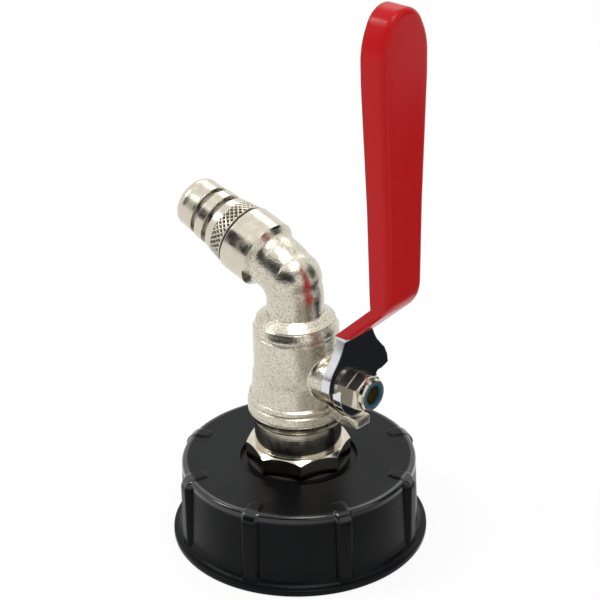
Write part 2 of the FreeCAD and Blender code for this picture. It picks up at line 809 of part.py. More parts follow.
# Flat steel pressing of the lever, before its sides are trimmed, seen from the side.
def lever_side(inset, foot):
    front = f"(handle_front - {inset})"
    back_low = f"(handle_front - handle_depth_foot + {inset})"
    back_top = f"(handle_front - handle_depth_top + {inset})"
    lift = f"((skin - {inset}) / cos(jog_slope))"
    start = f"(jog_start - {lift} + (skin - {inset}) * tan(jog_slope))"
    corner = f"(jog_start - {lift} + ({front} - hub_front) * tan(jog_slope))"
    rise = f"(jog_start + {lift} + plate / cos(jog_slope))"
    round_radius = "(bend_outer / tan((90 - jog_slope) / 2))"
    reach = f"({round_radius} * (1 / cos((90 - jog_slope) / 2) - 1))"
    face = f"(hub_front + skin - {inset})"
    rear = f"(stem_shoulder - skin + {inset})"
    return [
        (face, foot),
        (face, start),
        (f"{front} - bend_outer * cos(jog_slope)", f"{corner} - bend_outer * sin(jog_slope)"),
        ("via", f"{front} + {reach} * cos(135 + jog_slope / 2)",
         f"{corner} + {reach} * sin(135 + jog_slope / 2)"),
        (front, f"{corner} + bend_outer"),
        (front, "handle_top + 1"),
        (back_top, "handle_top + 1"),
        (back_low, f"{rise} + ({back_low} - hub_front) * tan(jog_slope)"),
        (rear, f"{rise} + ({rear} - hub_front) * tan(jog_slope)"),
        (rear, foot),
    ]


def trim(body, name, path):
    """Cuts the blank to an outline seen along the stem."""
    sketch = new_sketch(body, f"{name}_outline", "YZ_Plane")
    low = "0 - hub_radius - 4"
    far = "(ear_reach + 6)"
    draw(sketch, [(f"0 - {far}", low), (far, low), (far, "handle_top + 6"), (f"0 - {far}", "handle_top + 6")])
    draw(sketch, path)
    feature = body.newObject("PartDesign::Pocket", name)
    feature.Profile = sketch
    feature.setExpression("Length", cells("handle_front + 5"))
    feature.Reversed = True
    return feature


def hollow(body, name, inset, web, cover):
    """Sinks the back of the handle, which leaves a web in front and a wall round the edge."""
    path, _ = lever_outline(inset, "handle_foot")
    foot = f"handle_foot + {cover}"
    outline = [(path[1][0], foot)] + path[2:-2] + [(path[-2][0], foot)]
    return pocket(body, name, "YZ_Plane", outline, f"handle_front - {web}")


# Lever: one steel pressing with hub plate, stop ears, jog and channel-shaped handle.
def make_lever():
    body = new_body("lever", "stem_level")
    blank = pad(body, "blank", "XZ_Plane", lever_side("skin", "0 - hub_radius - 1"), "2 * ear_reach + 2",
                midplane=True)
    blank.Refine = True
    path, neck = lever_outline("skin", "jog_start + 1.6")
    ear = "ear_edge"
    right = [
        ("hub_radius - 0.3", f"{ear} - 0.7"),
        ("hub_radius + 0.4", ear),
        ("ear_inner", ear),
        ("ear_reach", f"{ear} + 1"),
        ("ear_reach - 0.4", f"{ear} + 3.8"),
        ("ear_reach - 1.6", f"{ear} + 6.6"),
        ("ear_reach - 3.5", f"{ear} + 8.8"),
        ("ear_reach - 5.2", f"{ear} + 11"),
        (f"{neck} + 1.6", f"{ear} + 12.8"),
        (f"{neck} + 0.6", "jog_start"),
    ]
    left = [(f"0 - ({x})", y) for x, y in right]
    left.reverse()
    trim(body, "plate_cut", path + left + [("via", "0", "0 - hub_radius")] + right)
    round_edges(body, "edge_rounding", "grip_edge - skin", lambda e: is_handle_rim(e, "skin"))
    hollow(body, "channel", "(skin + handle_wall)", "skin - handle_web", "0")
    sketch = new_sketch(body, "flats_outline", "YZ_Plane")
    flat = "(stem_flats / 2 + 0.05)"
    bore = "(stem_radius + 0.05)"
    side = f"sqrt({bore} ^ 2 - {flat} ^ 2)"
    draw(sketch, [
        (flat, side),
        ("via", "0", bore),
        (f"0 - {flat}", side),
        (f"0 - {flat}", f"0 - {side}"),
        ("via", "0", f"0 - {bore}"),
        (flat, f"0 - {side}"),
    ])
    hole = body.newObject("PartDesign::Pocket", "stem_hole")
    hole.Profile = sketch
    hole.setExpression("Length", cells("handle_front"))
    hole.Reversed = True
    body.Tip = hole
    return body


def is_handle_rim(edge, inset):
    """True for an edge of the handle's outline along its front face, seams across it left out."""
    box = edge.BoundBox
    front = value_of(f"handle_front - {inset}")
    return abs(box.XMax - front) < 0.01 and box.ZLength > 0.5 and box.ZMin > value_of("jog_start")


# Red vinyl skin, dipped over the handle and the jog of the lever.
def make_grip(lever):
    body = new_body("grip_blank", "stem_level")
    pad(body, "dip", "XZ_Plane", lever_side("0", "jog_start - 4"), "2 * ear_reach + 2", midplane=True)
    path, _ = lever_outline("0", "jog_start - 5")
    trim(body, "dip_cut", path)
    round_edges(body, "dip_rounding", "grip_edge", lambda e: is_handle_rim(e, "0"))
    hollow(body, "dip_channel", "(2 * skin + handle_wall)", "2 * skin - handle_web", "skin")
    reach = "handle_front + 10"
    line = pocket(body, "dip_line", "XY_Plane", [
        ("0", f"0 - ({reach})"),
        (reach, f"0 - ({reach})"),
        (reach, reach),
        ("0", reach),
    ], "20", offset="grip_start", forward=False)
    body.Tip = line
    grip = doc.addObject("Part::Cut", "lever_grip")
    grip.Base = body
    grip.Tool = lever
    return grip


# Lock nut of the lever, turned from hexagonal bar with a crimped crown.
def make_lever_nut():
    body = new_body("lever_nut", "stem_level", "stem")
    top = "(hub_front + nut_height)"
    outline = regular(6, "nut_width", "nut_turn")
    pad(body, "nut_hexagon", "XY_Plane", outline, "nut_height", offset="hub_front")
    bevel(body, "nut_corners", "nut_width", 6, top, "0.5", 1)
    turn(body, "nut_crown", [
        ("0", f"{top} - 0.5"),
        ("nut_collar_radius", f"{top} - 0.5"),
        ("nut_collar_radius", "nut_face - 0.5"),
        ("nut_collar_radius - 0.5", "nut_face"),
        ("0", "nut_face"),
    ])
    pocket(body, "insert_seat", "XY_Plane", None, "insert_height",
           offset="nut_face - insert_height", radius="insert_radius")
    bore = pocket(body, "nut_bore", "XY_Plane", None, "nut_height + nut_collar_height + 1",
                  offset="hub_front - 0.5", radius="stud_radius + thread_play")
    body.Tip = bore
    return body


# Blue nylon ring pressed into the lock nut's crown.
def make_nut_insert():
    return ring("nut_insert", "(stud_radius + 0.03)", "(insert_radius - 0.03)",
                "(nut_face - insert_height)", "(insert_height - 0.1)", "stem_level", "stem")


# Hose nozzle: one turning with a knurled flange, two grooves and a rounded tip.
def make_hose_nozzle():
    body = new_body("hose_nozzle", "spout_corner", "spout")
    face = "(collar_end + gasket_height)"
    band = f"({face} + knurl_length)"
    groove = f"({band} + nozzle_band)"
    land = f"({groove} + nozzle_rear_groove)"
    front = f"({land} + nozzle_land)"
    tip = f"({front} + nozzle_front_groove)"
    end = f"({face} + nozzle_length)"
    taper = "(nozzle_flange - nozzle_taper)"
    turn(body, "turning", [
        ("0", "collar_end - socket_depth + 0.6"),
        ("socket_radius - thread_play - 0.4", "collar_end - socket_depth + 0.6"),
        ("socket_radius - thread_play", "collar_end - socket_depth + 1"),
        ("socket_radius - thread_play", face),
        ("nozzle_flange - 0.2", face),
        ("nozzle_flange", f"{face} + 0.3"),
        ("nozzle_flange", f"{face} + 0.8"),
        ("nozzle_flange - 0.9", band),
        (taper, groove),
        ("nozzle_land_radius - nozzle_groove_depth + 0.3", groove),
        ("nozzle_land_radius - nozzle_groove_depth", f"{groove} + 0.3"),
        ("nozzle_land_radius - nozzle_groove_depth", land),
        ("nozzle_land_radius", land),
        ("nozzle_land_radius", front),
        ("nozzle_land_radius - nozzle_groove_depth - 0.2", front),
        ("nozzle_land_radius - nozzle_groove_depth - 0.2", tip),
        ("nozzle_tip_radius", tip),
        ("nozzle_tip_radius - 0.2", f"{end} - 3.9"),
        ("via", "(nozzle_tip_radius + nozzle_end_radius) / 2 + 0.7", f"{end} - 1.3"),
        ("nozzle_end_radius", end),
        ("0", end),
    ])
    bore = pocket(body, "nozzle_bore", "XY_Plane", None, "nozzle_length + socket_depth + 2",
                  offset="collar_end - socket_depth", radius="nozzle_bore")
    mouth = turn(body, "mouth", [
        ("0", end),
        ("nozzle_end_radius - 0.3", end),
        ("nozzle_bore - 0.1", f"{end} - 0.8"),
        ("0", f"{end} - 0.8"),
    ], cut=True)
    body.Tip = mouth
    return body


# Black ring between the spout's collar and the nozzle.
def make_outlet_gasket():
    return ring("outlet_gasket", "(socket_radius + 0.05)", "(nozzle_flange - gasket_setback / 2)",
                "collar_end", "gasket_height", "spout_corner", "spout")


lever_part = make_lever()
pieces = [
    make_cap(),
    make_cap_seal(),
    make_collar_washer(),
    make_inlet_connector(),
    make_connector_gasket(),
    make_valve_body(),
    make_seat("lower_ball_seat", "spigot_top"),
    make_seat("upper_ball_seat", "cavity_top"),
    make_ball(),
    make_stem(),
    make_thrust_washer(),
    make_stem_o_ring(),
    make_packing(),
    make_packing_nut(),
    lever_part,
    make_grip(lever_part),
    make_lever_nut(),
    make_nut_insert(),
    make_hose_nozzle(),
    make_outlet_gasket(),
]
pieces[7].Placement.Rotation = FreeCAD.Rotation(FreeCAD.Vector(1, 0, 0), 180)
doc.recompute()

for item in doc.Objects:
    if "Invalid" in item.State or "Error" in item.State:
        raise RuntimeError(f"{item.Label} did not compute: {item.State}")

os.makedirs("parts", exist_ok=True)
for piece in pieces:
    shape = piece.Shape
    if shape.isNull() or not shape.isValid() or len(shape.Solids) != 1:
        raise RuntimeError(f"{piece.Label} is not one sound solid")
    shape.exportStep(f"parts/{piece.Label}.step")
    print(f"{piece.Label}: {shape.Volume / 1000:.2f} cm3")
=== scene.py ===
import json
import math
import bpy
import bmesh
import numpy as np
from mathutils import Matrix, Vector


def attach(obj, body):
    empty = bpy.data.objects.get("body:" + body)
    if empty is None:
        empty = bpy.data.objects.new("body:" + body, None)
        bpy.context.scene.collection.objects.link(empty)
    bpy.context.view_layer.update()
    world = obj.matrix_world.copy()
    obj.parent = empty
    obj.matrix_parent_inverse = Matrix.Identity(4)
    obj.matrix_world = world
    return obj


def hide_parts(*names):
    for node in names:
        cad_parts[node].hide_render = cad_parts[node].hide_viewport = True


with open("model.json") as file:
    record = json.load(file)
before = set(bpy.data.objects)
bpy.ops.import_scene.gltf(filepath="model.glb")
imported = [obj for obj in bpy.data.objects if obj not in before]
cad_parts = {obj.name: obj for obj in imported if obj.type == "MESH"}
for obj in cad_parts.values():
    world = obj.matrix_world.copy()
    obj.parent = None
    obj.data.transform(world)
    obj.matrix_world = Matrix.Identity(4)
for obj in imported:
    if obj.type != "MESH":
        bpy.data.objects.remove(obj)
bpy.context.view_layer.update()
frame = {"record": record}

# Screw cap: a black polypropylene moulding with a flange and eight rounded ribs that lap onto its top.
# It came satin from its mould. A coarse female thread inside it screws onto the container's outlet.
# Its sizes are in millimetres, as all sizes of the pieces below are.
MM = 0.001
record = frame["record"]
body_of = {node: body for body, nodes in record["behaviour"]["bodies"].items() for node in nodes}
cap_radius, cap_height, cap_edge = 36.5, 26.0, 1.1
flange_radius, flange_height, flange_edge = 40.0, 2.2, 0.6
wall_draft, wall_shoulder, wall_root, wall_top = 0.6, 36.6, 2.45, 20.5
recess_radius, recess_floor, recess_edge, hole_radius = 18.2, 24.5, 0.3, 13.3
rubbed_width, rubbed_height, rubbed_fade = 2.0, 2.6, (0.6, 0.8)

# A rib's foot spreads beyond its half width, and its side rises from there. Its nose laps onto the top.
rib_count, rib_turn = 8, math.radians(18.9)
rib_radius, rib_height, rib_half, rib_shoulder = 38.35, 26.5, 2.7, 4.2
rib_foot, rib_side = 0.25, 1.3
nose_radius, nose_round, nose_length, nose_sink = 29.6, 1.9, 3.2, 0.05

# The thread's ridge and its flanks are shares of the pitch. It runs out over thread_fade at both ends.
bore_radius, bore_depth, bore_relief, cavity_top = 30.0, 17.5, 0.6, 20.5
thread_pitch, thread_depth, ridge_half, ridge_flank, thread_fade = 6.0, 2.5, 0.34, 0.2, 1.5


def linear(colour):
    """sRGB hex to linear RGBA: c / 12.92 up to 0.04045, else ((c + 0.055) / 1.055) ^ 2.4."""
    channels = [int(colour[i:i + 2], 16) / 255 for i in (1, 3, 5)]
    return [c / 12.92 if c <= 0.04045 else ((c + 0.055) / 1.055) ** 2.4 for c in channels] + [1.0]


def wire(node, inputs):
    """Each input of a node, by name, set to a value or linked to another node's output."""
    for name, value in inputs.items():
        if isinstance(value, bpy.types.NodeSocket):
            node.id_data.links.new(value, node.inputs[name])
        else:
            node.inputs[name].default_value = value


def add(tree, kind, inputs, **settings):
    """A shader node with its settings, and its inputs wired."""
    node = tree.nodes.new(kind)
    for name, value in settings.items():
        setattr(node, name, value)
    wire(node, inputs)
    return node


def finish(name):
    """A new material, its node tree, its surface node and its Object coordinates."""
    made = bpy.data.materials.new(name)
    made.use_nodes = True
    tree = made.node_tree
    return made, tree, tree.nodes["Principled BSDF"], add(tree, "ShaderNodeTexCoord", {}).outputs["Object"]


def add_piece(name, mesh, node, materials, crisp=30.0):
    """A finished piece in place of a CAD node, on the node's body, with the materials given.

    Its edges stay crisp where its faces meet at more than so many degrees.
    """
    mesh.shade_smooth()
    mesh.set_sharp_from_angle(angle=math.radians(crisp))
    mesh.materials.clear()
    for made in materials:
        mesh.materials.append(made)
    piece = bpy.data.objects.new(name, mesh)
    bpy.context.scene.collection.objects.link(piece)
    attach(piece, body_of[node])
    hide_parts(node)
    return piece


def arc(centre, radius, start, end, count):
    """Points of an arc in a profile plane: centre + radius (cos a, sin a), a in degrees."""
    a = np.radians(np.linspace(start, end, count))
    return np.stack([centre[0] + radius * np.cos(a), centre[1] + radius * np.sin(a)], axis=1)


def stretch(path, count):
    """Points at equal steps along a polyline, both ends among them."""
    path = np.asarray(path, float)
    gone = np.concatenate([[0.0], np.cumsum(np.linalg.norm(np.diff(path, axis=0), axis=1))])
    at = np.linspace(0.0, gone[-1], count)
    return np.stack([np.interp(at, gone, path[:, 0]), np.interp(at, gone, path[:, 1])], axis=1)


def ring_mesh(name, points):
    """A mesh from a grid of points in millimetres that closes both ways, faces turned outward.

    With a, b, c the first corners of each face, the sum of a . (b x c) is above 0 if they look outward.
    """
    rows, columns = points.shape[:2]
    index = np.arange(rows * columns).reshape(rows, columns)
    beside, above = np.roll(index, -1, 1), np.roll(index, -1, 0)
    faces = np.stack([index, beside, np.roll(above, -1, 1), above], axis=-1).reshape(-1, 4)
    flat = points.reshape(-1, 3) * MM
    a, b, c = (flat[faces[:, i]] for i in (0, 1, 2))
    if np.einsum("ij,ij->", a, np.cross(b, c)) < 0:
        faces = faces[:, ::-1]
    mesh = bpy.data.meshes.new(name)
    mesh.from_pydata(flat.tolist(), [], faces.tolist())
    return mesh


def mark(mesh, name, values):
    """A number at each point of a mesh, which its material reads by name."""
    layer = mesh.attributes.new(name, "FLOAT", "POINT")
    layer.data.foreach_set("value", values.astype(np.float32).ravel())


def screw_cap():
    """Wall profile q(s) and rib profile p(s), blended across each rib as q + w(d) (p - q).

    d is the distance round the cap from a rib's middle. w = sin(pi/2 x) rises from 0 at the rib's
    foot to 1 on its back, with x = (half width + foot - |d|) / side. The half width shrinks along the
    nose as an ellipse does. The thread stands in from the bore by a trapezoid of z / pitch - a / 2 pi.
    The second grid is 1 on the rounded top edge, which hands have rubbed, and 0 away from it.
    """
    flange = np.concatenate([
        arc((flange_radius - flange_edge, flange_edge), flange_edge, -90, 0, 5),
        arc((flange_radius - flange_edge, flange_height - flange_edge), flange_edge, 0, 90, 5),
    ])
    wall_foot = cap_radius + wall_draft
    root = arc((wall_foot + wall_root, flange_height + wall_root), wall_root, 265, 180, 9)
    wall = stretch([(wall_foot, flange_height + wall_root + 0.25), (wall_shoulder, wall_top - 0.1)], 10)
    over = stretch(np.concatenate([
        [(wall_shoulder, wall_top)],
        arc((cap_radius - cap_edge, cap_height - cap_edge), cap_edge, 0, 90, 12),
        [(nose_radius, cap_height)],
    ]), 44)
    crown = stretch(np.concatenate([
        [(rib_radius, wall_top)],
        arc((rib_radius - rib_shoulder, rib_height - rib_shoulder), rib_shoulder, 0, 90, 24),
        arc((nose_radius + nose_round, rib_height - nose_round), nose_round, 90, 132, 8),
        [(nose_radius, cap_height - nose_sink)],
    ]), len(over))
    inside = np.concatenate([
        stretch([(nose_radius - 1.1, cap_height), (recess_radius + 2 * recess_edge, cap_height)], 6),
        arc((recess_radius + recess_edge, cap_height - recess_edge), recess_edge, 90, 180, 4),
        [(recess_radius, recess_floor), (hole_radius, recess_floor), (hole_radius, cavity_top)],
        [(bore_radius + bore_relief, cavity_top), (bore_radius + bore_relief, bore_depth)],
    ])
    thread = stretch([(bore_radius, bore_depth), (bore_radius, bore_relief)], 70)
    lip = np.array([(bore_radius + bore_relief, 0.0)])
    plain = np.concatenate([flange, root, wall, over, inside, thread, lip])
    stand = np.array([rib_radius, 0])
    ribbed = np.concatenate([
        flange, np.maximum(root, stand), np.maximum(wall, stand), crown, inside, thread, lip,
    ])

    side = slice(len(flange), len(flange) + len(root) + len(wall))
    top = slice(side.stop, side.stop + len(crown))
    threaded = slice(top.stop + len(inside), -1)
    narrowed = np.clip((nose_radius + nose_length - crown[:, 0]) / nose_length, 0, 1)
    half = np.zeros(len(plain))
    half[side] = rib_half
    half[top] = rib_half * np.sqrt(1 - narrowed ** 2)

    # The grid's columns, by their distance from a rib's middle: close together where its side rises.
    near = np.array([0, 0.6, 1.1, 1.5, 1.7, 1.9, 2.1, 2.3, 2.5, 2.65, 2.8, 2.95, 3.2, 3.8])
    middle_radius, plain_columns = 38.0, 13
    pitch = 2 * math.pi * middle_radius / rib_count
    between = np.linspace(near[-1], pitch - near[-1], plain_columns + 2)[1:-1]
    offsets = np.concatenate([-near[:0:-1], near, between])
    angles = (rib_turn + (offsets[None, :] + pitch * np.arange(rib_count)[:, None]) / middle_radius).ravel()
    across = np.tile((offsets + pitch / 2) % pitch - pitch / 2, rib_count)

    x = np.clip((half[:, None] + rib_foot - np.abs(across)) / rib_side, 0, 1)
    w = np.sin(0.5 * np.pi * x) * (half[:, None] > 0)
    r = plain[:, 0, None] + w * (ribbed[:, 0] - plain[:, 0])[:, None]
    z = plain[:, 1, None] + w * (ribbed[:, 1] - plain[:, 1])[:, None]
    phase = np.abs((z / thread_pitch - angles / (2 * np.pi)) % 1.0 - 0.5)
    fade = np.clip((z - 1.0) / thread_fade, 0, 1) * np.clip((bore_depth - 0.3 - z) / thread_fade, 0, 1)
    ridge = thread_depth * np.clip((ridge_half - phase) / ridge_flank, 0, 1) * fade
    r[threaded] -= ridge[threaded]
    rubbed = (np.clip((r - wall_shoulder + rubbed_width) / rubbed_fade[0], 0, 1)
              * np.clip((z - cap_height + rubbed_height) / rubbed_fade[1], 0, 1))
    return np.stack([r * np.cos(angles), r * np.sin(angles), z], axis=-1), rubbed


# Moulded polypropylene: near black, with a low gloss in patches that the mould's grain breaks up,
# and a shine on the rubbed top edge. The real grain is 0.1 mm and is drawn at 0.9 mm, so that it shows.
polypropylene, tree, surface, place = finish("moulded_polypropylene")
grain = add(tree, "ShaderNodeTexNoise", {"Vector": place, "Scale": 1 / (0.9 * MM), "Detail": 3.0})
sheen = add(tree, "ShaderNodeTexNoise", {"Vector": place, "Scale": 1 / (14 * MM), "Detail": 2.0})
gloss = add(tree, "ShaderNodeMapRange", {"Value": sheen.outputs["Fac"], "To Min": 0.24, "To Max": 0.4})
bump = add(tree, "ShaderNodeBump", {"Height": grain.outputs["Fac"], "Distance": 0.02 * MM, "Strength": 0.5})
shine = add(tree, "ShaderNodeAttribute", {}, attribute_name="rubbed")
wire(surface, {
    "Base Color": linear("#0B0C0E"), "Specular IOR Level": 0.09, "Roughness": gloss.outputs["Result"],
    "Normal": bump.outputs["Normal"], "Coat Weight": shine.outputs["Fac"], "Coat Roughness": 0.16,
})
cap_points, rubbed = screw_cap()
cap_mesh = ring_mesh("threaded_cap_skin", cap_points)
mark(cap_mesh, "rubbed", rubbed)
add_piece("threaded_cap_skin", cap_mesh, "threaded_cap", [polypropylene])

# Rubber rings: the cap's flat seal, the washer under the octagon, the two thin rings that show at the
# valve's joints, and the stem's O-ring. All are black, moulded and pressed between what they seal.
seals = ("cap_seal", "collar_washer", "connector_gasket", "outlet_gasket", "stem_o_ring")
weld, flat_within, sharp_from, copy_crisp = 0.002 * MM, math.radians(0.3), 0.7, 32.0


def smooth_copy(node, materials, worn=None, radius=0.45):
    """The CAD node's own shape with its facets joined within weld, without its flat facets' normals.

    Edges sharper than sharp_from, in radians, for which worn(edge) holds are rounded by a radius in
    millimetres, once facets that are level within flat_within have been made one.
    """
    mesh = bpy.data.objects[node].data.copy()
    mesh.attributes.remove(mesh.attributes["custom_normal"])
    work = bmesh.new()
    work.from_mesh(mesh)
    bmesh.ops.remove_doubles(work, verts=work.verts, dist=weld)
    if worn:
        work.normal_update()
        bmesh.ops.dissolve_limit(work, angle_limit=flat_within, verts=work.verts, edges=work.edges)
        edges = [edge for edge in work.edges if edge.calc_face_angle() > sharp_from and worn(edge)]
        bmesh.ops.bevel(
            work, geom=edges, offset=radius * MM, segments=5, profile=0.5, affect="EDGES", clamp_overlap=True,
        )
    work.to_mesh(mesh)
    work.free()
    return add_piece(f"{node}_skin", mesh, node, materials, copy_crisp)


# Moulded rubber: dull black, with pores that catch a little dust. They are drawn at 0.5 mm, coarser
# than the real ones, so that they show.
rubber, tree, surface, place = finish("moulded_rubber")
pores = add(tree, "ShaderNodeTexNoise", {"Vector": place, "Scale": 1 / (0.5 * MM), "Detail": 4.0})
bump = add(tree, "ShaderNodeBump", {"Height": pores.outputs["Fac"], "Distance": 0.03 * MM, "Strength": 0.6})
wire(surface, {"Base Color": linear("#131313"), "Roughness": 0.62, "Normal": bump.outputs["Normal"]})
for node in seals:
    smooth_copy(node, [rubber])

# Inlet connector: one brass turning with an octagonal collar, a plain neck and two male threads.
# It is plated with bright nickel. The lathe left fine rings round its neck.
ring_pitch, bright_nickel = 0.3, "#D2CBBB"


def turned_nickel(name, turn, roughness):
    """Bright nickel over turning marks: warm silver, drawn out into thin rings round its turned axis.

    The lathe's marks lie 0.1 mm apart. They are drawn at ring_pitch, three times as far apart, so that
    they show, and each stays even for 25 mm. Handling has dulled the shine in patches 2.5 mm across.
    The turn, three angles in radians, brings the piece's axis onto the pattern's Z.
    """
    made, tree, surface, place = finish(name)
    turned = add(tree, "ShaderNodeMapping", {"Vector": place, "Rotation": turn})
    rings = add(tree, "ShaderNodeMapping", {
        "Vector": turned.outputs["Vector"], "Scale": (1 / (25 * MM), 1 / (25 * MM), 1 / (ring_pitch * MM)),
    })
    marks = add(tree, "ShaderNodeTexNoise", {"Vector": rings.outputs["Vector"], "Scale": 1.0, "Detail": 2.0})
    wear = add(tree, "ShaderNodeTexNoise", {"Vector": place, "Scale": 1 / (2.5 * MM), "Detail": 3.0})
    gloss = add(tree, "ShaderNodeMapRange", {
        "Value": wear.outputs["Fac"], "From Min": 0.3, "From Max": 0.7,
        "To Min": roughness * 0.7, "To Max": roughness * 1.5,
    })
    edge = add(tree, "ShaderNodeBevel", {"Radius": 0.25 * MM}, samples=4)
    bump = add(tree, "ShaderNodeBump", {
        "Height": marks.outputs["Fac"], "Distance": 0.02 * MM, "Strength": 0.6,
        "Normal": edge.outputs["Normal"],
    })
    wire(surface, {
        "Base Color": linear(bright_nickel), "Metallic": 1.0, "Roughness": gloss.outputs["Result"],
        "Normal": bump.outputs["Normal"],
    })
    return made


nickel_upright = turned_nickel("turned_nickel_upright", (0, 0, 0), 0.13)
smooth_copy("inlet_connector", [nickel_upright])

# Valve body: one sand casting of brass under nickel, with its stem boss, stop lug and bent spout.
# It keeps the grain of the sand and soft edges. Only the spout's collar is turned bright, to seat the
# nozzle. The spout's axis starts at its corner, and the nozzle's land lies land_along further on.
land_along, collar_start, collar_inside = 33.3, 11.2, 8.9
lug_from, lug_top = 20.5, 52.0
mounts = {mount["name"]: mount for mount in record["mounts"]}
spout_axis = np.array(mounts["hose_land"]["axis"], float)
spout_corner = np.array(mounts["hose_land"]["pos_m"], float) / MM - land_along * spout_axis
spout_turn = (0, -math.atan2(spout_axis[0], spout_axis[2]), 0)

# Sand-cast nickel: a pebbled shine, warm silver that is darker grey in the hollows of its grain, over
# slow swells 4 mm across. The sand's grain is 0.2 mm and is drawn at 0.55 mm, so that it shows.
cast_nickel, tree, surface, place = finish("sand_cast_nickel")
sand = add(tree, "ShaderNodeTexNoise", {
    "Vector": place, "Scale": 1 / (0.55 * MM), "Detail": 2.0, "Roughness": 0.6,
})
swell = add(tree, "ShaderNodeTexNoise", {"Vector": place, "Scale": 1 / (4.0 * MM), "Detail": 1.0})
edge = add(tree, "ShaderNodeBevel", {"Radius": 0.45 * MM}, samples=4)
waves = add(tree, "ShaderNodeBump", {
    "Height": swell.outputs["Fac"], "Distance": 0.06 * MM, "Strength": 0.6, "Normal": edge.outputs["Normal"],
})
bump = add(tree, "ShaderNodeBump", {
    "Height": sand.outputs["Fac"], "Distance": 0.08 * MM, "Strength": 1.0, "Normal": waves.outputs["Normal"],
})
# The colour is darker grey where the sand's grain is low, in its hollows.
hollow_grey = add(tree, "ShaderNodeMapRange", {"Value": sand.outputs["Fac"], "From Min": 0.25, "From Max": 0.55})
tone = add(tree, "ShaderNodeMix", {
    "Factor": hollow_grey.outputs["Result"], "A": linear("#A39C86"), "B": linear("#D8D2C3"),
}, data_type="RGBA")
gloss = add(tree, "ShaderNodeMapRange", {"Value": swell.outputs["Fac"], "To Min": 0.16, "To Max": 0.34})
wire(surface, {
    "Base Color": tone.outputs["Result"], "Metallic": 1.0, "Roughness": gloss.outputs["Result"],
    "Normal": bump.outputs["Normal"],
})
nickel_spout = turned_nickel("turned_nickel_spout", spout_turn, 0.2)


def on_lug(edge):
    """An edge of the stop lug's free end, under the stem's boss."""
    return all(vert.co.x > lug_from * MM and vert.co.z < lug_top * MM for vert in edge.verts)


body = smooth_copy("valve_body", [cast_nickel, nickel_spout], worn=on_lug)
faces = body.data.polygons
centres = np.empty(len(faces) * 3)
faces.foreach_get("center", centres)
from_corner = centres.reshape(-1, 3) / MM - spout_corner
along = from_corner @ spout_axis
away = np.linalg.norm(from_corner - along[:, None] * spout_axis, axis=1)
on_collar = (along > collar_start) & (away > collar_inside)
faces.foreach_set("material_index", on_collar.astype(np.int32))

# Hose nozzle: a quick connector turned in brass and nickel-plated, screwed into the spout's collar.
# It has a diamond knurl to grip, two grooves that a hose coupling snaps into, and a rounded tip.
# Its lengths are stations along the spout's axis from the corner, and its other sizes are radii.
nozzle_bore, spigot_radius, knurl_rim, knurl_foot = 4.6, 7.95, 10.18, 9.45
band_radius, rear_groove, land_radius, front_groove, tip_radius = 9.0, 7.6, 8.7, 7.4, 8.3
spigot_end, knurl_start, knurl_end, band_end = 15.2, 22.2, 27.0, 29.6
land_start, land_end, tip_start, nozzle_end = 31.5, 34.9, 36.7, 44.7
round_centre, tip_round = (5.1, 41.5), 3.05
knurl_teeth, tooth_columns, knurl_pitch, knurl_depth = 34, 14, 1.9, 0.5
# The last number is the share of painted shade on the grooves' floors.
pit_reach, pit_wall, groove_shade = 0.42, 1.6, 0.55


